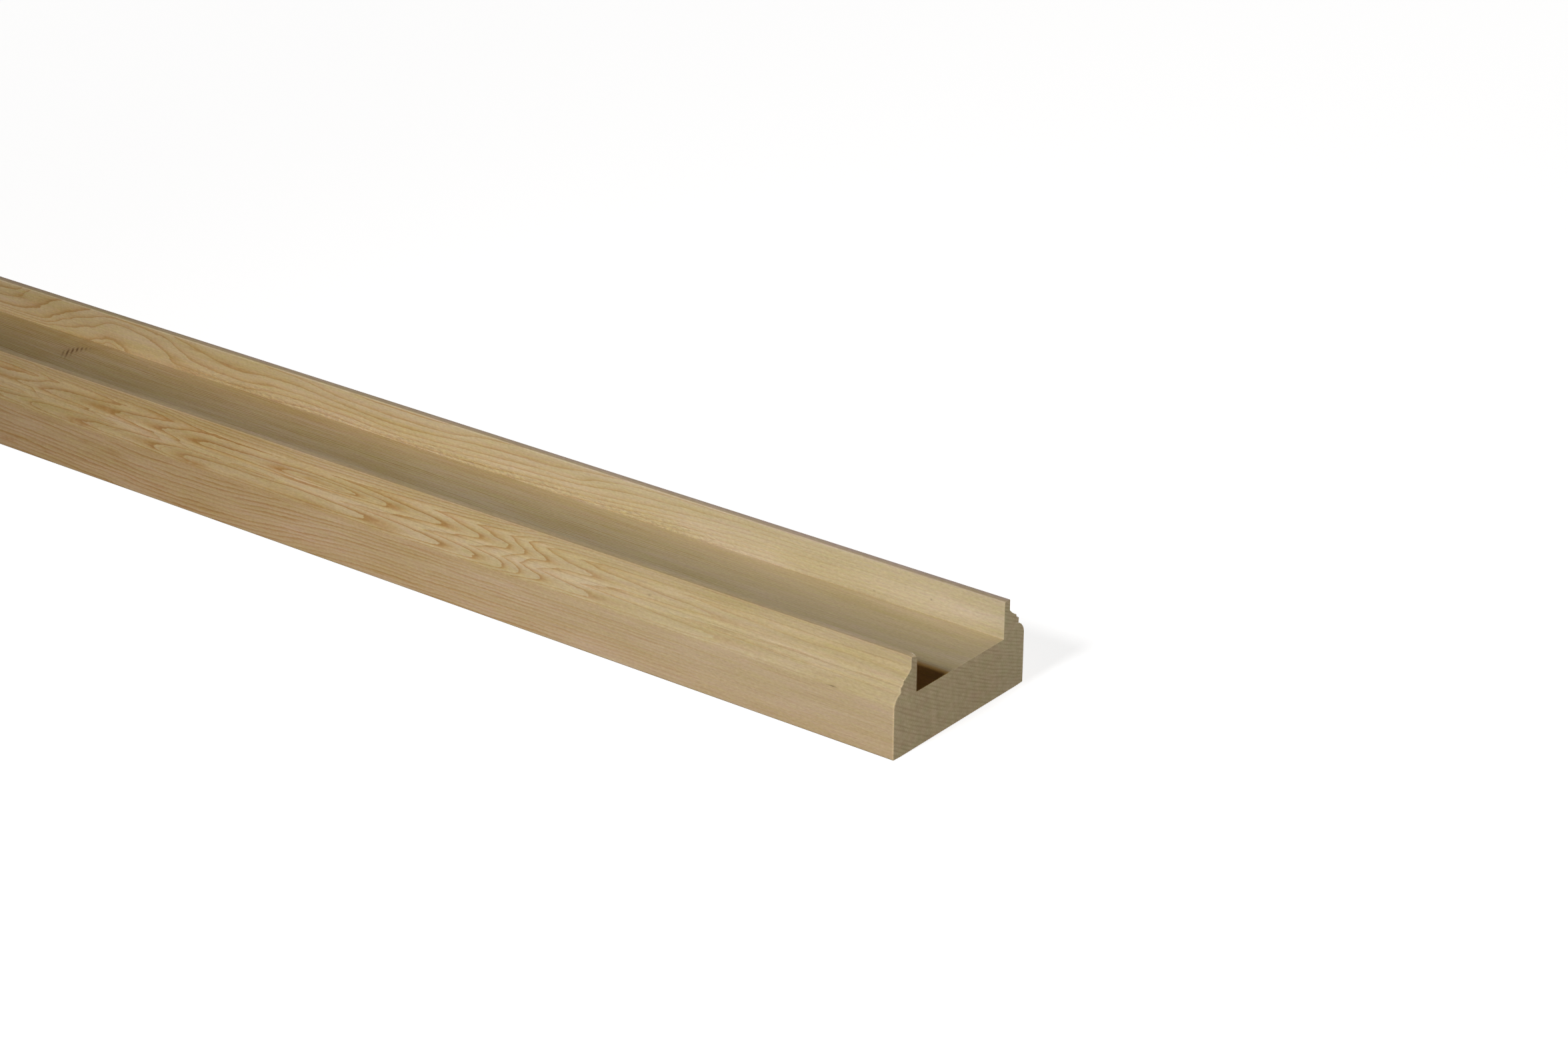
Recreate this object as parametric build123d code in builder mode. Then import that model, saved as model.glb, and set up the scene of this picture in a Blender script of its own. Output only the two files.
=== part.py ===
"""Stair base rail: one length of moulded softwood with a groove for square spindles.

All sizes are in millimetres. X runs along the rail, Y across it and Z up,
with the origin at the middle of the underside.
"""

from build123d import *
import os

# Length that the rail is sold in
rail_length = 2400.0

# Groove that the spindles stand in: their width plus a little play
spindle_width = 41.0
spindle_play = 0.5
groove_depth = 11.5
floor_thickness = 17.0

# Upstand on each side of the groove, above the moulding
lip_thickness = 2.65
lip_face_height = 3.4

# Moulding on each side, from the lip down and outward
cove_width = 3.5
cove_height = 2.6
cove_radius = 10.0
quirk_height = 0.15
scotia_radius = 1.25
fillet_height = 1.75
ovolo_radius = 4.0
ovolo_width = 2.85

# Arrises taken off by sanding
lip_easing = 0.4
base_easing = 0.4

# Widths worked out from the groove outward
groove_width = spindle_width + spindle_play
lip_face_y = groove_width / 2 + lip_thickness
cove_edge_y = lip_face_y + cove_width
step_face_y = cove_edge_y + scotia_radius
flank_y = step_face_y + ovolo_width

# Heights worked out from the top of the lips downward
rail_height = floor_thickness + groove_depth
cove_top_z = rail_height - lip_face_height
cove_edge_z = cove_top_z - cove_height
scotia_top_z = cove_edge_z - quirk_height
step_top_z = scotia_top_z - scotia_radius
ovolo_top_z = step_top_z - fillet_height

# The ovolo's arc meets the flank at a tangent, with its centre level with the flank's top
ovolo_centre_to_top = ovolo_radius - ovolo_width
ovolo_height = (ovolo_radius**2 - ovolo_centre_to_top**2) ** 0.5
flank_top_z = ovolo_top_z - ovolo_height

# The rail is one straight moulding: half the section is drawn and mirrored, then run out
# equally both ways to its two square sawn ends
with BuildPart() as base_rail:
    with BuildSketch(Plane.YZ):
        with BuildLine():
            underside = Line((0, 0), (flank_y, 0))
            flank = Line(underside @ 1, (flank_y, flank_top_z))
            ovolo = RadiusArc(flank @ 1, (step_face_y, ovolo_top_z), -ovolo_radius)
            step_face = Line(ovolo @ 1, (step_face_y, step_top_z))
            scotia = RadiusArc(step_face @ 1, (cove_edge_y, scotia_top_z), scotia_radius)
            quirk = Line(scotia @ 1, (cove_edge_y, cove_edge_z))
            cove = RadiusArc(quirk @ 1, (lip_face_y, cove_top_z), cove_radius)
            lip_face = Line(cove @ 1, (lip_face_y, rail_height))
            lip_top = Line(lip_face @ 1, (groove_width / 2, rail_height))
            groove_wall = Line(lip_top @ 1, (groove_width / 2, floor_thickness))
            groove_floor = Line(groove_wall @ 1, (0, floor_thickness))
            Line(groove_floor @ 1, underside @ 0)
        make_face()
        mirror(about=Plane.YZ)
    extrude(amount=rail_length / 2, both=True)
    long_edges = base_rail.edges().filter_by(Axis.X)
    fillet(long_edges.group_by(Axis.Z)[-1], radius=lip_easing)
    fillet(long_edges.group_by(Axis.Z)[0], radius=base_easing)

base_rail.part.label = "base_rail"

os.makedirs("parts", exist_ok=True)
export_step(base_rail.part, "parts/base_rail.step")
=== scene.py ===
"""Looks of the stair base rail: its sawn and planed softwood, a pale floor, soft light and a camera."""

from math import cos, pi, radians, sin, sqrt, tan

import bmesh
import bpy
from mathutils import Matrix, Vector


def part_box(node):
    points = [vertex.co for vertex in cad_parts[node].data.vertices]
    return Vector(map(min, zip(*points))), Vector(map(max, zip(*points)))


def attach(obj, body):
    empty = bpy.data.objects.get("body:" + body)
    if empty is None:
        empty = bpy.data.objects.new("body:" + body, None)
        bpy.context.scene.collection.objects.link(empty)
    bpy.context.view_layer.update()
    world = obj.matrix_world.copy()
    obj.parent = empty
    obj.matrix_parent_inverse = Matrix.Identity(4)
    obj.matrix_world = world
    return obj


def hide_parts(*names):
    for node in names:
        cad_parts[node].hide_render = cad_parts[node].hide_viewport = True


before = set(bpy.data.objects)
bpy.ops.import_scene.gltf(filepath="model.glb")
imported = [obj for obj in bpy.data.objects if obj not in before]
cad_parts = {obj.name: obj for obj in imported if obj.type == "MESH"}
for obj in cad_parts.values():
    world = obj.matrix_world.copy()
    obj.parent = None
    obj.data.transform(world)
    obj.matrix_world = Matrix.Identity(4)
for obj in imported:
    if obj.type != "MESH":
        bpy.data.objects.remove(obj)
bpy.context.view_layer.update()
rail_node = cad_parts["base_rail"]
rail_low, rail_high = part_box("base_rail")

MM = 0.001
rail_length = rail_high.x - rail_low.x
rail_width = rail_high.y - rail_low.y
rail_height = rail_high.z - rail_low.z


# Arithmetic on fields: numbers that vary from point to point over the wood


class Field:
    """A socket of the node tree being built, with ordinary arithmetic."""

    tree = None

    def __init__(self, socket):
        self.socket = socket

    def __add__(self, other):
        return calc("ADD", self, other)

    def __radd__(self, other):
        return calc("ADD", other, self)

    def __sub__(self, other):
        return calc("SUBTRACT", self, other)

    def __rsub__(self, other):
        return calc("SUBTRACT", other, self)

    def __mul__(self, other):
        return calc("MULTIPLY", self, other)

    def __rmul__(self, other):
        return calc("MULTIPLY", other, self)

    def __truediv__(self, other):
        return calc("DIVIDE", self, other)

    def __neg__(self):
        return calc("MULTIPLY", self, -1.0)


def put(value, socket):
    """Links a field to a node's input, or sets the input to a plain value."""
    if isinstance(value, Field):
        Field.tree.links.new(value.socket, socket)
    else:
        socket.default_value = value


def calc(operation, *terms):
    """One step of arithmetic."""
    node = Field.tree.nodes.new("ShaderNodeMath")
    node.operation = operation
    for term, socket in zip(terms, node.inputs):
        put(term, socket)
    return Field(node.outputs[0])


def greater(a, b):
    return calc("MAXIMUM", a, b)


def held(value, low, high):
    """The value held between two limits."""
    return greater(calc("MINIMUM", value, high), low)


def ramp(value, low, high, start=0.0, end=1.0):
    """Goes smoothly from start to end as the value goes from low to high."""
    node = Field.tree.nodes.new("ShaderNodeMapRange")
    node.interpolation_type = "SMOOTHSTEP"
    inputs = ("Value", "From Min", "From Max", "To Min", "To Max")
    for name, term in zip(inputs, (value, low, high, start, end)):
        put(term, node.inputs[name])
    return Field(node.outputs["Result"])


def between(value, low, high, soft):
    """1 between two limits and 0 outside them, with soft edges."""
    return ramp(value, low - soft, low + soft) * ramp(value, high - soft, high + soft, 1.0, 0.0)


def mix(amount, low, high):
    return low + (high - low) * amount


def hill(square):
    """A round hill: 1 where the square is 0, and less as it grows."""
    return calc("POWER", 2.718, -square)


def hill_at(along, up, place, reach):
    """A round hill at the place (along, up), as wide as its reach."""
    over_x = (along - place[0]) / reach[0]
    over_z = (up - place[1]) / reach[1]
    return hill(over_x * over_x + over_z * over_z)


def hills(along, up, listed):
    """The sum of several hills, each with its place, reach and strength."""
    total = 0.0
    for place, reach, strength in listed:
        total = hill_at(along, up, place, reach) * strength + total
    return total


def follow(where, stops, sharp=()):
    """A smooth curve through the (place, value) stops, level beyond the first and the last."""
    places = [place for place, value in stops]
    values = [value for place, value in stops]
    low, high = min(values), max(values)
    node = Field.tree.nodes.new("ShaderNodeFloatCurve")
    points = node.mapping.curves[0].points
    while len(points) < len(stops):
        points.new(0.5, 0.5)
    for point, (place, value) in zip(points, stops):
        point.location = ((place - places[0]) / (places[-1] - places[0]), (value - low) / (high - low))
        point.handle_type = "VECTOR" if place in sharp else "AUTO"
    node.mapping.update()
    put(held((where - places[0]) / (places[-1] - places[0]), 0.0, 1.0), node.inputs["Value"])
    return Field(node.outputs[0]) * (high - low) + low


def vector(x, y, z):
    node = Field.tree.nodes.new("ShaderNodeCombineXYZ")
    for term, socket in zip((x, y, z), node.inputs):
        put(term, socket)
    return Field(node.outputs[0])


def parts_of(socket):
    """The three parts of a vector."""
    node = Field.tree.nodes.new("ShaderNodeSeparateXYZ")
    Field.tree.links.new(socket, node.inputs[0])
    return [Field(part) for part in node.outputs]


def noise(x, y, z, detail=2.0, rough=0.5):
    """Smooth noise between about -1 and 1."""
    node = Field.tree.nodes.new("ShaderNodeTexNoise")
    node.noise_type = "FBM"
    node.normalize = False
    put(vector(x, y, z), node.inputs["Vector"])
    put(1.0, node.inputs["Scale"])
    put(detail, node.inputs["Detail"])
    put(rough, node.inputs["Roughness"])
    return Field(node.outputs[0])


def blend(amount, low, high):
    """Mixes two colours."""
    node = Field.tree.nodes.new("ShaderNodeMix")
    node.data_type = "RGBA"
    put(amount, node.inputs[0])
    for value, socket in zip((low, high), (node.inputs[6], node.inputs[7])):
        put(value if isinstance(value, Field) else (*value, 1.0), socket)
    return Field(node.outputs[2])


def tint(colour, red, green, blue):
    """Multiplies the three parts of a colour."""
    node = Field.tree.nodes.new("ShaderNodeMix")
    node.data_type = "RGBA"
    node.blend_type = "MULTIPLY"
    node.inputs[0].default_value = 1.0
    put(colour, node.inputs[6])
    put(vector(red, green, blue), node.inputs[7])
    return Field(node.outputs[2])


# Figure of the grain on each face. Places are in mm, from the near end, up from the underside and across
# from the near flank. Values are in rings unless they say otherwise. Beyond the last stop the rings wander.

# The groove's two walls and its floor, and the top of the plain flank
near_wall, far_wall, groove_floor, flank_top = 10.25, 51.75, 17.0, 15.5
# From the near end to the first of these places the figure is set, and past the second it is free
set_figure_end, free_figure_start = -430.0, -520.0
# Mean distance in mm from ring to ring on each face
flank_spacing, lip_spacing, floor_spacing = 1.4, 0.7, 0.82
low_wall_spacing, high_wall_spacing = 1.42, 2.6
# Along the moulding the grain swells to one ring after another, which gives a row of nested tips
moulding_drift = (
    (-430, -4.6), (-347, -4.0), (-337, -3.0), (-307, -2.0), (-283, -1.0), (-267, 0.0), (-236, 0.28),
    (-226, 0.45), (-214, 0.28), (-205, 0.1), (-190, -0.25), (-169, -1.0), (-153, -2.0), (-142, -3.0),
    (-135.5, -4.0), (-128, -5.0), (-111, -6.0), (-67, -7.0), (-36, -7.4), (-20, -7.3), (0, -7.6),
)
# Across the moulding it turns back at each hollow
moulding_swell = (
    (13.0, -4.2), (15.5, -2.3), (16.6, -0.9), (17.9, 0.1), (19.5, -1.2), (21.2, -0.7), (22.5, 0.0),
    (23.5, -0.6), (24.6, -1.28), (26.0, -0.2), (27.5, 1.4), (28.5, 2.3),
)
hollows = (19.5, 24.6)
# Height in mm of one line at the top of the flank, and how much more it climbs at the bottom
flank_climb = (
    (-430, 4.2), (-360, 3.0), (-330, 2.0), (-300, 0.7), (-275, 0.0), (-262, 0.2), (-250, 0.8), (-235, 1.8),
    (-215, 3.1), (-195, 4.1), (-150, 4.8), (-100, 5.6), (-60, 5.9), (0, 6.0),
)
flank_extra = ((-430, 0.0), (-255, 0.0), (-240, 0.5), (-215, 2.0), (-200, 2.9), (-180, 3.1), (0, 3.2))
# Heights in mm of six neighbouring lines on the groove's inner wall
wall_lines = (
    ((-430, 14.0), (-380, 15.5), (-372, 16.2), (-367, 17.0), (-365, 18.2), (-361, 18.7), (-358.5, 19.6),
     (-354, 18.4), (-350, 17.0), (-340, 12.0), (-325, 13.5), (-310, 15.5), (-290, 16.4), (-262, 17.9),
     (-230, 17.2), (-205, 17.6), (-180, 18.8), (-160, 19.9), (-150, 20.6), (-140, 21.4), (-120, 23.2),
     (-100, 24.4), (-87, 25.1), (0, 25.2)),
    ((-430, 17.0), (-410, 17.3), (-390, 17.6), (-385, 18.3), (-380, 19.0), (-375, 19.9), (-370, 21.2),
     (-365, 22.0), (-362, 23.6), (-358, 25.0), (-352, 25.7), (-345, 25.1), (-338, 23.6), (-330, 20.4),
     (-326, 18.4), (-310, 17.9), (-300, 17.6), (-292, 18.4), (-275, 19.7), (-262, 19.8), (-250, 19.6),
     (-235, 18.9), (-210, 19.4), (-190, 20.4), (-170, 21.3), (-160, 21.7), (-150, 22.8), (-140, 24.1),
     (-120, 25.3), (-100, 26.1), (-87, 26.5), (0, 26.6)),
    ((-430, 18.2), (-410, 18.5), (-391, 18.5), (-386, 19.2), (-383, 20.0), (-380, 21.3), (-377, 22.1),
     (-374, 23.4), (-370, 24.4), (-366, 25.2), (-362, 26.4), (-357, 27.4), (-352, 27.8), (-344, 27.7),
     (-335, 27.2), (-325, 23.7), (-312, 20.6), (-300, 20.1), (-290, 20.9), (-275, 21.7), (-250, 21.4),
     (-230, 20.5), (-205, 21.4), (-190, 22.3), (-170, 23.1), (-160, 23.3), (-150, 24.8), (-143, 25.9),
     (-135, 27.1), (-120, 27.8), (0, 28.0)),
    ((-430, 19.0), (-410, 19.3), (-398, 19.3), (-392, 19.5), (-388, 20.1), (-384, 21.5), (-380, 23.2),
     (-377, 24.7), (-374, 25.6), (-370, 27.0), (-365, 28.4), (-360, 29.6), (-352, 31.0), (-338, 30.0),
     (-330, 28.6), (-325, 27.4), (-316, 25.9), (-303, 23.6), (-297, 23.2), (-290, 23.7), (-282, 24.7),
     (-275, 24.7), (-255, 23.4), (-238, 22.4), (-228, 22.2), (-215, 22.9), (-197, 24.2), (-180, 25.1),
     (-165, 25.4), (-155, 26.4), (-140, 28.0), (-120, 29.3), (0, 29.5)),
    ((-430, 20.2), (-410, 20.3), (-400, 20.7), (-396, 21.5), (-392, 22.2), (-389, 23.6), (-386, 25.4),
     (-383, 27.2), (-379, 28.4), (-374, 30.0), (-352, 34.0), (-335, 32.0), (-320, 30.0), (-300, 28.2),
     (-275, 27.4), (-257, 25.7), (-247, 25.2), (-238, 24.9), (-225, 24.8), (-210, 25.1), (-197, 26.7),
     (-190, 27.4), (-175, 28.3), (-150, 29.8), (0, 31.0)),
    ((-430, 22.8), (-410, 23.4), (-403, 23.8), (-400, 24.9), (-397, 26.8), (-393, 29.2), (-385, 32.0),
     (-352, 37.0), (-275, 30.4), (-225, 27.6), (-200, 28.8), (-150, 32.0), (0, 34.0)),
)
# How strong the rings are along the rail, and how many of them have a second line
ring_vigour = (
    (-430, 0.96), (-335, 0.92), (-270, 1.02), (-230, 1.05), (-190, 1.04), (-150, 0.95), (-110, 0.6),
    (-80, 0.4), (-50, 0.28), (0, 0.16),
)
second_lines = ((-430, 1.0), (-260, 0.9), (-200, 0.45), (-140, 0.25), (0, 0.15))
# Painted light and shade: how much lighter or darker the wood is made at each height of the moulding, across
# the far lip's top, and along it
moulding_painted_light = (
    (15.2, 1.0), (15.9, 1.06), (16.5, 1.05), (17.3, 1.0), (18.4, 0.96), (19.2, 0.99), (20.0, 1.0),
    (20.6, 1.03), (21.2, 1.13), (21.7, 0.96), (22.0, 1.0), (22.4, 1.06), (22.8, 1.02), (23.3, 0.96),
    (24.1, 1.0), (24.6, 0.97), (25.2, 0.985),
)
far_lip_painted_light_across = ((51.7, 1.0), (52.1, 1.06), (52.5, 1.07), (53.0, 1.04), (53.6, 0.95))
far_lip_painted_light_along = ((-430, 1.07), (-300, 1.05), (-220, 0.985), (-80, 0.975), (-30, 0.9))
# Brown patches: place along and up, reach both ways, and strength
patches_of_brown = (
    ((-267.0, 16.9), (6.5, 0.75), 0.75), ((-216.0, 17.0), (13.0, 0.7), 0.5),
    ((-234.0, 22.6), (4.0, 0.9), 0.45), ((-242.0, 17.1), (10.0, 0.6), 0.3),
    ((-187.0, 17.1), (6.0, 0.7), 0.4), ((-186.0, 22.6), (4.0, 0.8), 0.35),
    ((-285.0, 24.8), (7.0, 0.5), 0.5), ((-310.0, 22.6), (6.0, 0.6), 0.35),
    ((-319.0, 17.0), (5.0, 0.6), 0.4), ((-221.0, 22.7), (4.0, 0.4), 0.3), ((-298.0, 8.6), (5.0, 0.7), 0.4),
    ((-315.0, 11.5), (3.0, 0.4), 0.4), ((-302.0, 11.9), (3.0, 0.4), 0.35),
    ((-265.0, 12.4), (2.5, 0.35), 0.5), ((-283.0, 4.9), (5.0, 0.35), 0.3), ((-351.0, 3.2), (3.0, 0.5), 0.6),
    ((-333.5, 3.2), (1.5, 0.4), 0.6), ((-302.0, 10.9), (4.0, 0.5), 0.5), ((-346.0, 5.2), (6.0, 0.3), 0.45),
    ((-312.0, 22.6), (7.0, 0.5), 0.4), ((-317.0, 17.4), (6.0, 0.5), 0.45),
    ((-84.0, 10.6), (9.0, 0.22), 0.35), ((-78.0, 4.4), (5.0, 0.25), 0.3), ((-102.0, 9.6), (8.0, 0.2), 0.2),
)
# The same on the groove's far wall
wall_blotches = (
    ((-303.0, 24.0), (8.0, 0.6), 0.5), ((-316.0, 25.8), (5.0, 0.5), 0.4), ((-352.0, 26.4), (7.0, 0.4), 0.3),
    ((-400.0, 25.0), (3.5, 1.1), 0.5), ((-377.0, 25.0), (2.5, 1.3), 0.3), ((-322.0, 17.6), (9.0, 0.8), 0.5),
    ((-296.0, 18.2), (5.0, 0.7), 0.35), ((-359.0, 19.7), (2.5, 0.5), 0.3),
    ((-327.0, 20.5), (2.0, 1.5), 0.25),
)
# Small dark nicks in the moulding, and specks on the wall
small_nicks = (
    ((-21.0, 16.3), (1.3, 0.18), 0.75), ((-88.6, 22.5), (0.7, 0.25), 0.4), ((-5.5, 16.9), (1.0, 0.2), 0.2),
    ((-93.0, 24.3), (5.0, 0.12), 0.2),
)
wall_specks = (
    ((-25.0, 22.0), (0.35, 0.3), 0.5), ((-45.0, 19.0), (0.4, 0.25), 0.4), ((-12.0, 24.5), (0.3, 0.25), 0.25),
)
# Brown patches on the groove's floor: place along and across
floor_patches = (
    ((-367.5, 49.5), (2.2, 3.0), 0.6), ((-377.0, 49.5), (2.4, 3.6), 0.6), ((-371.0, 34.0), (4.5, 3.0), 0.5),
    ((-390.0, 44.0), (6.0, 4.0), 0.3),
)


# Wood


# Its colours, as parts of red, green and blue: the rings, the marks on them, the dashes and the sawn end
ring_pale, ring_orange, ring_brown = (0.70, 0.56, 0.335), (0.60, 0.385, 0.165), (0.44, 0.235, 0.08)
patch_brown, nick_brown = (0.52, 0.30, 0.11), (0.24, 0.17, 0.10)
halo_brown, dash_brown = (0.48, 0.28, 0.11), (0.17, 0.075, 0.025)
end_pale, end_brown, saw_brown = (0.48, 0.388, 0.232), (0.37, 0.27, 0.145), (0.31, 0.225, 0.115)


class Places:
    """Where each point lies on the rail, in mm, which face it is on, and the noises that steps share."""

    def __init__(self):
        nodes = Field.tree.nodes
        x, y, z = parts_of(nodes.new("ShaderNodeTexCoord").outputs["Object"])
        face_x, face_y, face_z = parts_of(nodes.new("ShaderNodeNewGeometry").outputs["True Normal"])
        along = (x - rail_high.x) / MM
        across = (y - rail_low.y) / MM
        height = (z - rail_low.z) / MM
        self.along, self.across, self.height = along, across, height

        # How much a point belongs to each face, from 0 to 1
        self.on_end = ramp(calc("ABSOLUTE", face_x), 0.7, 0.9)
        above_floor = height - groove_floor
        self.on_wall = between(across, far_wall - 0.15, far_wall + 0.55, 0.05)
        self.on_wall = self.on_wall * ramp(above_floor, 0.0, 0.05) * ramp(-face_y, 0.5, 0.6)
        self.on_floor = between(across, near_wall + 0.05, far_wall - 0.01, 0.02)
        self.on_floor = self.on_floor * ramp(face_z, 0.8, 0.9) * ramp(above_floor, 1.0, 0.5)
        self.near_side = ramp(across, near_wall + 0.15, near_wall + 0.65, 1.0, 0.0)
        self.on_top = greater(ramp(height, 28.15, 28.45), ramp(height, 26.4, 26.8) * ramp(face_z, 0.3, 0.5))
        self.on_flank = ramp(height, 16.2, 14.6)
        self.on_lip_face = self.near_side * ramp(height, 24.9, 25.8)
        self.beyond = ramp(along, free_figure_start, set_figure_end, 1.0, 0.0)

        # The rings' slow and free wandering, the waves of the fibres, and the rough edge of each line
        self.wander = noise(along / 160.0, across / 14.0, height / 14.0, 1.0)
        self.free = noise(along / 190.0, 3.7, 0.0, 2.0, 0.4) * 6.0
        self.waves = noise(along / 20.0, across / 2.6, height / 2.6)
        self.rough = noise(along / 2.4, across * 1.3, height * 1.3)
        self.solid_rings = (height - across) * 0.78


def wall_figure(at):
    """Rings on the groove's far wall, counted from one known line to the next."""
    lines = []
    for k, line_stops in enumerate(wall_lines):
        free_line = at.free * 2.0 + 13.0 + high_wall_spacing * k
        lines.append(mix(at.beyond, follow(at.along, line_stops), free_line))
    below = calc("MINIMUM", (at.height - lines[0]) / low_wall_spacing, 0.0)
    rings = below + greater((at.height - lines[-1]) / high_wall_spacing, 0.0)
    for lower, upper in zip(lines, lines[1:]):
        rings = rings + held((at.height - lower) / (upper - lower), 0.0, 1.0)
    return at.waves * 0.16 + at.rough * 0.04 - rings


def ring_count(at):
    """How many rings lie before each point. Each face has a figure of its own."""
    along, across, height = at.along, at.across, at.height
    climb = follow(along, flank_climb) + follow(along, flank_extra) * (1.0 - height / flank_top)
    flank = (height - mix(at.beyond, climb, at.free + 2.0)) / flank_spacing
    flank = flank + at.waves * 0.35 + at.wander * 0.3 + at.rough * 0.1
    moulding = follow(height, moulding_swell, hollows)
    moulding = moulding + mix(at.beyond, follow(along, moulding_drift), at.free - 4.6)
    moulding = moulding + hill_at(along, height, (-214.0, 22.5), (20.0, 0.9)) * 1.3
    moulding = moulding - hill_at(along, height, (-242.0, 19.5), (7.0, 0.6)) * 0.3
    moulding = moulding + at.waves * ramp(along, -220.0, -330.0, 0.16, 0.3)
    moulding = moulding + at.rough * ramp(along, -220.0, -340.0, 0.05, 0.08)
    lip_top = across / lip_spacing + along * 0.012 + at.waves * 0.5
    near = mix(at.on_top, mix(at.on_flank, moulding, flank), lip_top)
    far_drift = noise(along / 230.0, 8.1, 0.0, 2.0, 0.4) * 4.0
    far = at.solid_rings + far_drift + at.wander * 0.6 + at.waves * 0.2
    floor = (across + along * 0.024) / floor_spacing + at.wander * 1.6 + at.waves * 0.3 + at.rough * 0.1
    floor = floor - ramp(along, -330.0, -400.0) * ramp(across, 20.0, 50.0) * 3.0
    rings = mix(at.near_side, far, near)
    rings = mix(at.on_wall, rings, wall_figure(at))
    return mix(at.on_floor, rings, floor)


def ring_quiet(at):
    """Less than 1 where the rings hardly show."""
    along, height, near_side = at.along, at.height, at.near_side
    faint = hill_at(along, height, (-258.0, 17.3), (15.0, 1.3)) * near_side
    on_wall = at.on_wall * ramp(along, -400.0, -250.0, 0.2, 0.4)
    quiet = 1.0 - greater(greater(faint * 0.75, at.on_lip_face * 0.25), greater(at.on_top * 0.65, on_wall))
    on_step = near_side * between(height, 19.3, 21.0, 0.3)
    return quiet * (1.0 - on_step * ramp(along, -60.0, -280.0, 0.15, 0.6))


def ring_colour(at):
    """Each ring is pale, darkens to orange brown, and ends in a thin dark line."""
    along = at.along
    rings = ring_count(at)
    figured = greater(at.near_side * (1.0 - at.on_flank) * (1.0 - at.on_top), at.on_wall)
    phase = calc("FRACT", rings)
    number = calc("FLOOR", rings)
    strength = ramp(noise(number * 3.7, along / 40.0, 0.0, 1.0), -0.5, 0.45, mix(figured, 0.35, 0.7), 1.0)
    ending = ramp(phase, 0.95, 1.0, 1.0, 0.0) * strength
    late = ramp(phase, mix(figured, 0.05, 0.25), 1.0) * ending
    line = ramp(phase, mix(figured, 0.45, 0.74), 0.93) * ending

    second_phase = calc("FRACT", rings * 2.0 + at.rough * 0.25 + 0.4)
    second = ramp(second_phase, 0.5, 0.9) * ramp(second_phase, 0.92, 1.0, 1.0, 0.0)
    second = second * ramp(noise(number * 5.3, along / 16.0, 2.0, 1.0), -0.3, 0.4)
    second = second * mix(at.beyond, follow(along, second_lines), 0.8)
    late = greater(late, second * mix(at.on_wall, 0.55, 0.1))

    vigour = mix(at.beyond, follow(along, ring_vigour), 1.0) * ring_quiet(at)
    plain_line = ramp(along, -270.0, -190.0, 0.48, 0.3) + at.on_floor * 0.12
    late = late * mix(figured, mix(at.on_floor, 0.7, 0.95), 0.9) * vigour
    line = line * mix(figured, plain_line, 0.65) * vigour
    return blend(line, blend(late, ring_pale, ring_orange), ring_brown)


def add_marks(at, colour):
    """Brown patches, small nicks and specks."""
    along, height = at.along, at.height
    spots = hills(along, height, patches_of_brown) * at.near_side
    spots = spots + hills(along, height, wall_blotches) * at.on_wall
    colour = blend(spots * (1.0 + at.rough * 0.6), colour, patch_brown)
    nicks = hills(along, height, small_nicks) * at.near_side + hills(along, height, wall_specks) * at.on_wall
    return blend(nicks, colour, nick_brown)


def add_fibres(at, colour, streaks, fibres):
    """Fibres, soft patches, and the warmer wood away from the near end."""
    along, across, height = at.along, at.across, at.height
    speckle = noise(along * 0.9, across * 1.7, height * 1.7 + 9.0)
    patches = noise(along / 40.0, across / 4.0, height / 4.0)
    warm = mix(at.beyond, ramp(along, -20.0, -330.0), ramp(noise(along / 400.0, 1.3, 0.0), -0.6, 0.6))
    hue = noise(along / 4.5, across * 1.1 + 5.0, height * 1.1)
    light = 1.015 + streaks * 0.06 + patches * 0.07 + fibres * 0.1 + speckle * 0.05
    green = 1.0 - warm * 0.06 + speckle * 0.02 + streaks * 0.02 + hue * 0.035
    blue = 0.97 - warm * 0.155 + patches * 0.12 + speckle * 0.06 - hue * 0.04
    return tint(colour, light, light * green, light * blue)


def tone_near_side(at, colour):
    """The flank, its lower edge and the moulding: painted shade on the lower edge, and the moulding a little
    darkened or lightened from height to height as painted light and shade.
    """
    along, height, near_side = at.along, at.height, at.near_side
    low = near_side * ramp(height, 16.6, 15.2)
    colour = tint(colour, 1.0 + low * ramp(height, 9.0, 3.0) * 0.02, 1.0 - low * 0.045, 1.0 - low * 0.015)
    # Painted shade: every point below half a millimetre, the underside too, is made darker, for the bottom
    # edge turned away from the light
    edge = 1.0 - ramp(height, 0.5, 0.1) * 0.3
    colour = tint(colour, edge, edge, edge)
    # Painted shade: the moulding is made darker, less on the lip's face, and the step's hollow is made
    # lighter, painted light against its shade
    painted_moulding_shade = near_side * (1.0 - at.on_flank) * (1.0 - at.on_top) * (1.0 - at.on_lip_face * 0.6)
    painted_moulding_shade = painted_moulding_shade * (1.0 - between(height, 19.45, 21.0, 0.2) * 1.3)
    colour = tint(colour, 1.0 - painted_moulding_shade * 0.1, 1.0 - painted_moulding_shade * 0.11, 1.0 - painted_moulding_shade * 0.13)
    belt = near_side * (1.0 - at.on_top) * hill_at(along, height, (-260.0, 20.0), (34.0, 14.0))
    colour = tint(colour, 1.0 - belt * 0.04, 1.0 - belt * 0.05, 1.0 - belt * 0.085)
    # Painted light and shade across the moulding, height by height, from the list above
    light = mix(near_side * ramp(height, 14.6, 15.2), 1.0, follow(height, moulding_painted_light))
    # Painted shade on the near lip's outer top arris; the step's hollow is also made bluer
    arris = near_side * ramp(height, 27.8, 28.2) * ramp(at.across, 8.5, 8.0)
    hollow = near_side * between(height, 19.0, 21.4, 0.3)
    return tint(colour, light * (1.0 - arris * 0.08), light * (1.0 - arris * 0.12 + hollow * 0.015),
                light * (1.0 - arris * 0.17 + hollow * 0.08))


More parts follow.
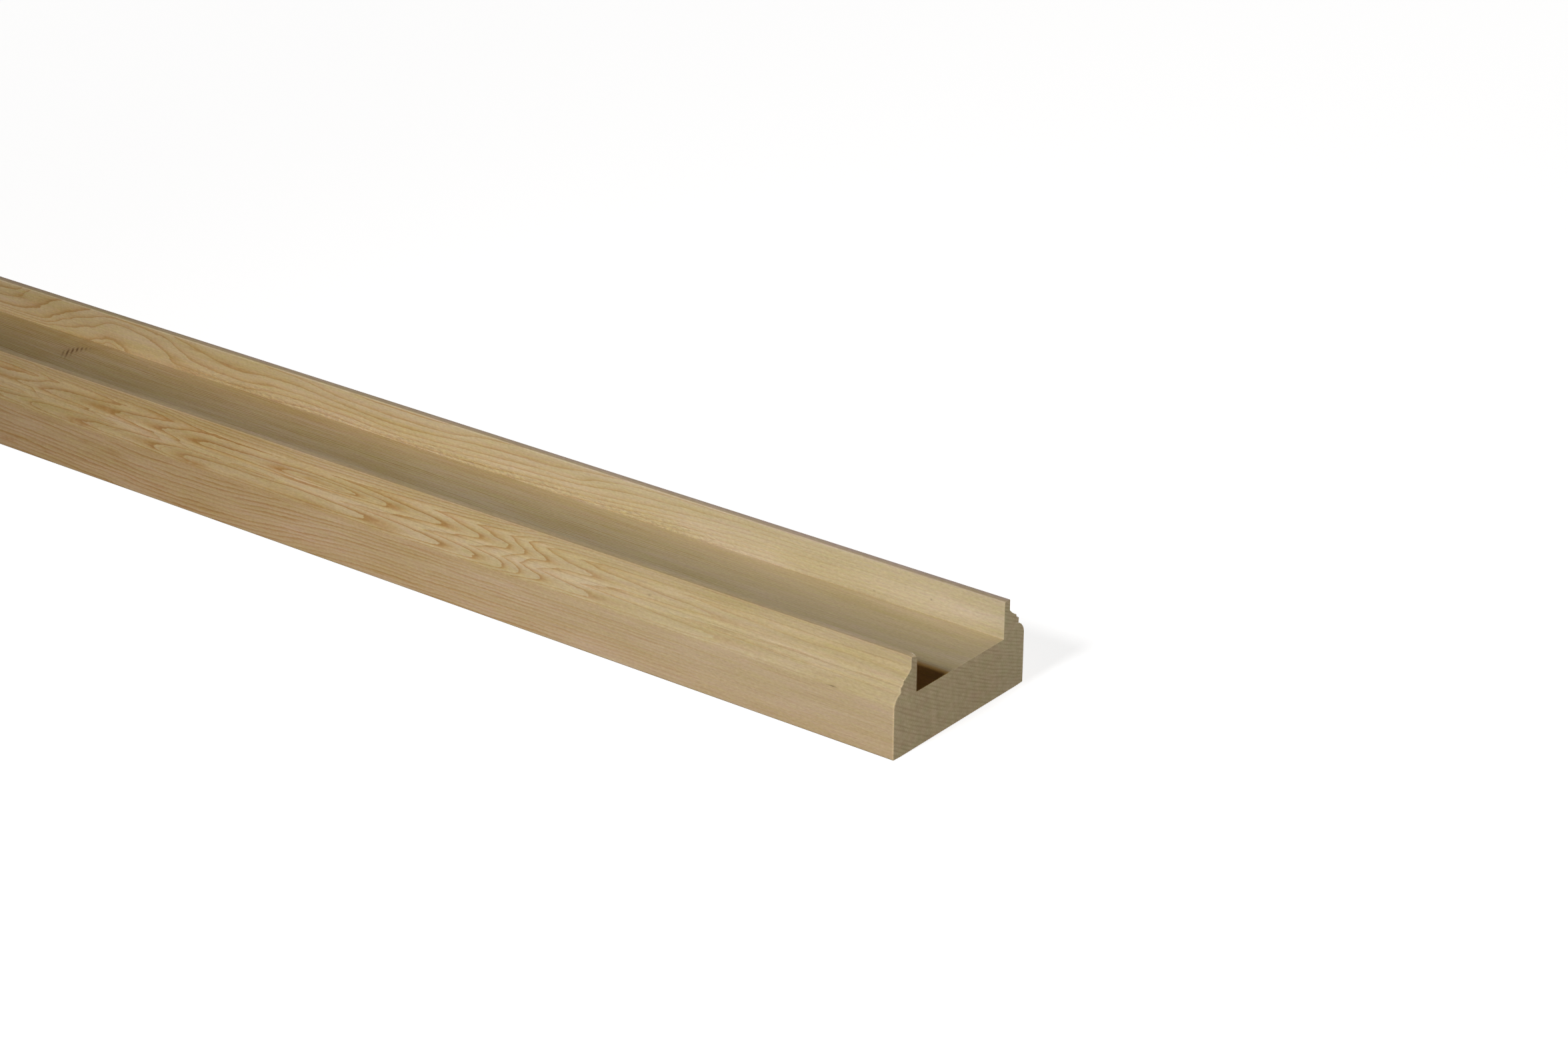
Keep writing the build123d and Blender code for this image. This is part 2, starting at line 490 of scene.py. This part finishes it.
def tone_lips(at, colour):
    """The tops of the two lips, made lighter or darker across and along them as painted light and shade, and
    bluer towards the far lip's outer edge.
    """
    along, across, near_side = at.along, at.across, at.near_side
    # Painted light and shade: lighter towards the near lip's outer edge, a painted rounding of light and
    # shade across the far lip, and darker towards the near end
    light = mix(near_side, follow(across, far_lip_painted_light_across), ramp(across, 10.2, 8.0, 0.95, 1.04))
    light = light * mix(near_side, follow(along, far_lip_painted_light_along), ramp(along, -330.0, -60.0, 0.98, 0.9))
    green = ramp(along, -330.0, -30.0, mix(near_side, 1.07, 1.05), 1.0) * 0.98
    blue = mix(near_side, ramp(across, 52.2, 53.8, 1.17, 1.46), 1.07) * 0.95
    blue = blue * ramp(along, -330.0, -60.0, mix(near_side, 1.06, 1.16), mix(near_side, 1.02, 0.96))
    return tint(colour, mix(at.on_top, 1.0, light), mix(at.on_top, 1.0, light * green),
                mix(at.on_top, 1.0, light * blue))


def tone_groove(at, colour):
    """The groove's far wall and its floor: painted shade on the floor by the near lip and low on the wall
    near the end, a little painted light away from the near end, and a redder brown painted in the floor's
    shaded corner for light bounced between the groove's sides.
    """
    along, across, on_wall, on_floor = at.along, at.across, at.on_wall, at.on_floor
    # Painted shade: the floor darker towards the near lip and the wall darker low down near the end; both a
    # little lighter far from the end
    groove_painted_shade = on_floor * ramp(across, 42.0, 28.0) * 0.1
    groove_painted_shade = groove_painted_shade + on_wall * ramp(at.height, 21.0, 17.5) * ramp(along, -150.0, -40.0) * 0.11
    groove_painted_shade = groove_painted_shade - (on_wall + on_floor * 0.6) * ramp(along, -60.0, -300.0) * 0.03
    towards_end = ramp(along, -160.0, -60.0)
    colour = tint(colour, 1.0 - on_wall * 0.03 - on_floor * 0.1 - groove_painted_shade,
                  1.0 + on_wall * 0.015 - on_floor * (0.035 + towards_end * 0.04) - groove_painted_shade,
                  1.0 + on_wall * 0.105 + on_floor * (0.06 - towards_end * 0.1) - groove_painted_shade)
    # Painted bounce light: within the near lip's shadow at the sawn end the floor is made redder, for warm
    # light bounced between the groove's sides
    corner = on_floor * ramp(across, 26.8, 24.2) * ramp(along, -26.0, -16.0)
    return tint(colour, 1.0 + corner * 0.3, 1.0 - corner * 0.05, 1.0 - corner * 0.58)


def torn_fibres(at):
    """Fibres torn by the cutter low on the groove's far wall."""
    zone = at.on_wall * ramp(at.height, 22.0, 17.6) * between(at.along, -325.0, -95.0, 25.0)
    return noise((at.along + at.height * 0.6) / 2.1, at.height * 1.5, 4.0, 4.0, 0.7) * zone


def add_cutter_marks(at, colour, torn):
    """The torn fibres, and a painted highlight along the faint step that the cutter left higher up."""
    # Painted highlight: a pale line where the cutter's step would catch the light; the step has no relief of
    # its own
    step = hill_at(at.along, at.height, (-170.0, 25.5), (75.0, 0.16)) * at.on_wall
    step = step * ramp(noise(at.along / 14.0, 2.2, 0.0), -0.3, 0.3)
    light = 1.0 + torn * 0.16 + step * 0.08
    return tint(colour, light, light * (1.0 + torn * 0.04), light * (1.0 + step * 0.1))


def add_dashes(at, colour):
    """A bent row of small brown dashes crosses the groove's floor, where the grain turns about a knot."""
    along, across = at.along, at.across
    off_middle = across - 41.0
    off_row = along + 365.2 - off_middle * off_middle * 0.085
    dash_spacing = 1.4
    dashes = ramp(calc("SINE", (across * 0.61 + along * 0.79) * (2 * pi / dash_spacing)), -0.3, 0.6)
    row = hill(off_row * off_row / 3.2) * ramp(across, 34.0, 40.0) * ramp(across, 48.5, 44.0)
    halo = hill(off_row * off_row / 14.0) * ramp(across, 34.0, 42.0) * 0.5
    halo = halo + hills(along, across, floor_patches)
    colour = blend(halo * at.on_floor * 0.5, colour, halo_brown)
    return blend(row * dashes * at.on_floor * 0.8, colour, dash_brown)


def sawn_end(at):
    """Colour and relief of a sawn end: the saw's own curved marks cross the rings."""
    across, height = at.across, at.height
    down = height + across * 0.56 - across * across * 0.0027
    saw = down / (1.38 - across * 0.005) + noise(across / 14.0, down / 6.0, 2.0) * 0.35
    saw_line = calc("POWER", calc("SINE", saw * (2 * pi)) * 0.5 + 0.5, 2.0)
    saw_line = saw_line * ramp(noise(across / 12.0, down / 0.9, 7.0, 1.0), -0.6, 0.5, 0.25, 1.0)
    mottle = noise(across / 2.2, height / 2.2, 5.0, 3.0, 0.6)
    grit = noise(across * 1.8, height * 1.8, 1.0)
    bands = noise((across + height * 0.15) / 2.3, 3.3, 0.0)
    moss = noise(across / 5.0, height / 3.0, 11.0)
    right = ramp(across, 44.0, 56.0)
    end_ring = ramp(calc("FRACT", at.solid_rings + at.wander * 0.5), 0.3, 1.0)
    colour = blend(end_ring * 0.2, end_pale, end_brown)
    saw_strength = 0.45 + mottle * 0.3 + ramp(across, 26.0, 34.0) * 0.08
    colour = blend(saw_line * saw_strength, colour, saw_brown)
    light = 1.0 + mottle * 0.1 + grit * 0.08 + bands * 0.06
    light = light * (1.0 - ramp(height, 18.0, 22.0) * at.near_side * 0.06) * (1.0 + right * 0.02)
    colour = tint(colour, light * (1.0 - moss * 0.03),
                  light * (1.0 + mottle * 0.03 + right * 0.03 + moss * 0.03),
                  light * (1.0 + mottle * 0.06 + right * 0.06 - moss * 0.03))
    return colour, saw_line * 0.05 + mottle * 0.03


def wood_material():
    material = bpy.data.materials.new("planed_softwood")
    material.use_nodes = True
    tree = material.node_tree
    tree.nodes.clear()
    Field.tree = tree
    at = Places()
    streaks = noise(at.along / 18.0, at.across * 2.4, at.height * 2.4)
    fibres = noise(at.along / 1.4, at.across * 3.0, at.height * 3.0)
    torn = torn_fibres(at)
    colour = add_marks(at, ring_colour(at))
    colour = add_fibres(at, colour, streaks, fibres)
    for tone in (tone_near_side, tone_lips, tone_groove):
        colour = tone(at, colour)
    colour = add_cutter_marks(at, colour, torn)
    colour = add_dashes(at, colour)
    end_colour, end_relief = sawn_end(at)

    shader = tree.nodes.new("ShaderNodeBsdfPrincipled")
    put(blend(at.on_end, colour, end_colour), shader.inputs["Base Color"])
    put(0.6, shader.inputs["Roughness"])
    put(0.25, shader.inputs["Specular IOR Level"])
    relief = tree.nodes.new("ShaderNodeBump")
    put(1.0, relief.inputs["Strength"])
    put(MM, relief.inputs["Distance"])
    side_relief = streaks * 0.012 + fibres * 0.006 + torn * 0.08
    put(mix(at.on_end, side_relief, end_relief), relief.inputs["Height"])
    tree.links.new(relief.outputs[0], shader.inputs["Normal"])
    output = tree.nodes.new("ShaderNodeOutputMaterial")
    tree.links.new(shader.outputs[0], output.inputs["Surface"])
    return material


# The rail: the section of the CAD node, run out again in lengths, with its saw-cut arrises softened


# The straight part is run out in this many lengths, with extra sections in mm from the near end for the wear
lengths = 48
worn_runs = (2.2, 1.6, 1.1, 0.7)
# The wear on the near lip: how deep it is, its lowest height, and its middle and reach across
worn_depth, worn_from = 1.3 * MM, 25.0 * MM
worn_middle, worn_reach = 10.3 * MM, 3.2 * MM
# A sawn arris is a quarter circle with points at these angles in degrees
arris_angles = (90.0, 67.5, 45.0, 22.5, 0.0)


def end_outline(mesh, x):
    """The corners of the section at one end, in order round it, as (y, z)."""
    shell = bmesh.new()
    shell.from_mesh(mesh)
    bmesh.ops.remove_doubles(shell, verts=shell.verts, dist=1e-6)

    def at_end(face):
        return all(abs(v.co.x - x) < 1e-6 for v in face.verts)

    rim = [e for e in shell.edges if sum(at_end(f) for f in e.link_faces) == 1]
    following = {}
    for edge in rim:
        for a, b in (edge.verts, reversed(edge.verts)):
            following.setdefault(a, []).append(b)
    start = min(following, key=lambda v: (v.co.z, v.co.y))
    outline = [start]
    previous, current = None, start
    while True:
        choices = [v for v in following[current] if v is not previous]
        step = next(v for v in choices if v is not start or len(outline) > 2)
        if step is start:
            break
        outline.append(step)
        previous, current = current, step
    corners = [(v.co.y, v.co.z) for v in outline]
    shell.free()
    area = sum(a[0] * b[1] - b[0] * a[1] for a, b in zip(corners, corners[1:] + corners[:1]))
    return corners if area > 0 else corners[::-1]


def drawn_in(corners, distances):
    """The outline moved inward, each corner by its own distance."""
    moved = []
    count = len(corners)
    for i, (corner, distance) in enumerate(zip(corners, distances)):
        here = Vector(corner)
        before = (here - Vector(corners[i - 1])).normalized()
        after = (Vector(corners[(i + 1) % count]) - here).normalized()
        inward = Vector((-(before + after).y, (before + after).x)).normalized()
        lean = max(0.5, inward.dot(Vector((-before.y, before.x))))
        moved.append(tuple(here + inward * (distance / lean)))
    return moved


def with_stops(corners):
    """The outline with a point added near both ends of each long side."""
    long_side = 10.0 * MM
    inset = 3.0 * MM
    longer = []
    for a, b in zip(corners, corners[1:] + corners[:1]):
        longer.append(a)
        start, finish = Vector(a), Vector(b)
        step = (finish - start).normalized() * inset
        if (finish - start).length > long_side:
            longer += [tuple(start + step), tuple(finish - step)]
    return longer


def sawn_arris(corner):
    """How far the sawn end is rounded at a corner: more on the flanks than in the groove or underneath."""
    y, z = corner
    from_flank = rail_width / 2 - abs(y)
    on_underside = z < rail_low.z + 0.2 * MM
    on_lip = z > rail_low.z + 24.0 * MM
    least = 0.05
    if on_underside:
        outward = 1.0 - from_flank / (2.5 * MM)
        extra = 0.25
    else:
        outward = 1.25 - from_flank / (8.0 * MM)
        extra = 0.24 if on_lip else 0.4
    return MM * (least + extra * min(1.0, max(0.0, outward)))


def worn(point):
    """A point of the near lip moved down where the lip's inner corner is worn off at the sawn end."""
    x, y, z = point
    inward = 1.0 - abs(y - rail_low.y - worn_middle) / worn_reach
    run = 1.0 - (rail_high.x - x) / (worn_runs[0] * MM)
    share = (z - rail_low.z - worn_from) / (rail_height - worn_from)
    if min(inward, run, share) <= 0.0:
        return point
    drop = worn_depth * inward * share * (1.0 - sqrt(1.0 - min(1.0, run) ** 2))
    return (x, y, z - drop)


def lay_flat(mesh, loops, corners, rim):
    """Spreads the surface out flat: the sides in rows, one above the other, and the ends beside them."""
    count = len(corners)
    places = [0.0]
    for a, b in zip(corners, corners[1:] + corners[:1]):
        on_underside = max(a[1], b[1]) < rail_low.z + MM
        places.append(places[-1] + (Vector(b) - Vector(a)).length * (0.5 if on_underside else 1.0))
    # The rows fill the left of the sheet, and the ends stand one above the other at its right
    rows = 4
    row_length = rail_length / rows
    row_left, row_span, row_margin = 0.005, 0.765, 0.01
    end_left, end_bottom, end_step, end_span = 0.79, 0.1, 0.5, 0.195
    sides = (len(loops) - 1) * count
    layer = mesh.uv_layers.new(name="OFBake")
    for face in mesh.polygons:
        row = min(rows - 1, max(0, (face.index // count - rim) * rows // lengths))
        last_strip = face.index % count == count - 1
        for loop_index in face.loop_indices:
            ring, corner = divmod(mesh.loops[loop_index].vertex_index, count)
            x, y, z = loops[ring][corner]
            if face.index < sides:
                place = places[-1] if last_strip and corner == 0 else places[corner]
                u = row_left + row_span * (x - rail_low.x - row * row_length) / row_length
                v = (row + row_margin + (1.0 - 2 * row_margin) * place / places[-1]) / rows
            else:
                u = end_left + end_span * (y - rail_low.y) / rail_width
                v = end_bottom + end_step * (face.index - sides) + end_span * (z - rail_low.z) / rail_width
            layer.data[loop_index].uv = (u, v)


def make_rail():
    corners = with_stops(end_outline(rail_node.data, rail_high.x))
    arrises = [sawn_arris(corner) for corner in corners]
    count = len(corners)
    rounding = []
    for angle in arris_angles:
        depths = [arris * (1.0 - sin(radians(angle))) for arris in arrises]
        insets = [arris * (1.0 - cos(radians(angle))) for arris in arrises]
        rounding.append((depths, drawn_in(corners, insets)))
    loops = []
    for depths, loop in rounding:
        loops.append([(rail_low.x + depth, y, z) for depth, (y, z) in zip(depths, loop)])
    for i in range(1, lengths):
        x = rail_low.x + rail_length * i / lengths
        loops.append([(x, y, z) for y, z in corners])
    for run in worn_runs:
        loops.append([(rail_high.x - run * MM, y, z) for y, z in corners])
    for depths, loop in reversed(rounding):
        loops.append([(rail_high.x - depth, y, z) for depth, (y, z) in zip(depths, loop)])
    verts = [worn(point) for loop in loops for point in loop]
    faces = []
    for i in range(len(loops) - 1):
        here, onward = i * count, (i + 1) * count
        for j in range(count):
            k = (j + 1) % count
            faces.append((here + j, here + k, onward + k, onward + j))
    faces.append(tuple(range(count)))
    faces.append(tuple(reversed(range(len(verts) - count, len(verts)))))
    mesh = bpy.data.meshes.new("base_rail_wood")
    mesh.from_pydata(verts, [], faces)
    shell = bmesh.new()
    shell.from_mesh(mesh)
    bmesh.ops.recalc_face_normals(shell, faces=shell.faces)
    shell.to_mesh(mesh)
    shell.free()
    mesh.shade_smooth()
    mesh.set_sharp_from_angle(angle=radians(28.0))
    lay_flat(mesh, loops, corners, len(rounding) - 1)
    mesh.materials.append(wood_material())
    rail = bpy.data.objects.new("base_rail_wood", mesh)
    bpy.context.scene.collection.objects.link(rail)
    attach(rail, "root")
    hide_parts("base_rail")


make_rail()


# Floor, lights and camera


def make_floor():
    reach = 12.0
    mesh = bpy.data.meshes.new("floor")
    corners = [(-reach, -reach, 0), (reach, -reach, 0), (reach, reach, 0), (-reach, reach, 0)]
    mesh.from_pydata(corners, [], [(0, 1, 2, 3)])
    floor = bpy.data.objects.new("floor", mesh)
    bpy.context.scene.collection.objects.link(floor)
    material = bpy.data.materials.new("pale_floor")
    material.use_nodes = True
    shader = material.node_tree.nodes["Principled BSDF"]
    shader.inputs["Base Color"].default_value = (0.45, 0.45, 0.45, 1.0)
    shader.inputs["Roughness"].default_value = 0.9
    shader.inputs["Specular IOR Level"].default_value = 0.0
    shader.inputs["Emission Color"].default_value = (1.0, 1.0, 1.0, 1.0)
    shader.inputs["Emission Strength"].default_value = 0.86
    mesh.materials.append(material)
    floor.visible_diffuse = False
    floor.visible_glossy = False


def make_world():
    world = bpy.data.worlds.new("studio")
    world.use_nodes = True
    tree = world.node_tree
    tree.nodes.clear()
    path = tree.nodes.new("ShaderNodeLightPath")
    ambient = tree.nodes.new("ShaderNodeBackground")
    ambient.inputs["Color"].default_value = (1.0, 0.6, 0.3, 1.0)
    ambient.inputs["Strength"].default_value = 0.02
    backdrop = tree.nodes.new("ShaderNodeBackground")
    backdrop.inputs["Color"].default_value = (1.0, 1.0, 1.0, 1.0)
    backdrop.inputs["Strength"].default_value = 0.97
    chooser = tree.nodes.new("ShaderNodeMixShader")
    output = tree.nodes.new("ShaderNodeOutputWorld")
    tree.links.new(path.outputs["Is Camera Ray"], chooser.inputs[0])
    tree.links.new(ambient.outputs[0], chooser.inputs[1])
    tree.links.new(backdrop.outputs[0], chooser.inputs[2])
    tree.links.new(chooser.outputs[0], output.inputs["Surface"])
    bpy.context.scene.world = world


def add_light(name, kind, energy, towards, place=(0, 0, 0)):
    """A white light that shines along the direction, from the place."""
    data = bpy.data.lights.new(name, kind)
    data.energy = energy
    light = bpy.data.objects.new(name, data)
    light.location = place
    light.rotation_mode = "QUATERNION"
    light.rotation_quaternion = Vector(towards).to_track_quat("-Z", "Y")
    light.visible_camera = False
    bpy.context.scene.collection.objects.link(light)
    return data


# The light falls across the rail at this slope, so that the near lip shades half of the groove
key_elevation = radians(35.2)
key_lean = radians(4.0)
key_softness = radians(10.5)
to_key = Vector((-sin(key_lean), -cos(key_lean) * cos(key_elevation), cos(key_lean) * sin(key_elevation)))


def make_lights():
    key = add_light("key", "SUN", energy=1.22, towards=-to_key)
    key.angle = key_softness
    spot_distance = 0.9
    aim = Vector((rail_high.x, 0.0, rail_high.z))
    spot = add_light("end_light", "SPOT", energy=12.0, towards=-to_key, place=aim + to_key * spot_distance)
    spot.shadow_soft_size = spot_distance * tan(key_softness / 2)
    spot.spot_size = radians(57.0)
    spot.spot_blend = 1.0
    side = add_light("side_fill", "SUN", energy=3.0, towards=(-1.0, 0.0, 0.0))
    side.angle = radians(3.0)
    back = add_light("back_fill", "SUN", energy=2.4, towards=(0.35, -1.0, -0.01))
    back.angle = radians(8.0)


def make_camera():
    azimuth, pitch, roll = radians(37.516), radians(24.049), radians(0.332)
    place = (1.7503, -0.7969, 0.4913)
    data = bpy.data.cameras.new("camera")
    data.sensor_width = 36.0
    data.lens = 89.95
    data.clip_start = 0.05
    data.clip_end = 100.0
    camera = bpy.data.objects.new("camera", data)
    turn = Matrix.Rotation(azimuth, 4, "Z") @ Matrix.Rotation(pi / 2 - pitch, 4, "X")
    camera.matrix_world = Matrix.Translation(place) @ turn @ Matrix.Rotation(roll, 4, "Z")
    bpy.context.scene.collection.objects.link(camera)
    bpy.context.scene.camera = camera


make_floor()
make_world()
make_lights()
make_camera()
bpy.context.scene.view_settings.view_transform = "Standard"
bpy.context.scene.view_settings.look = "None"
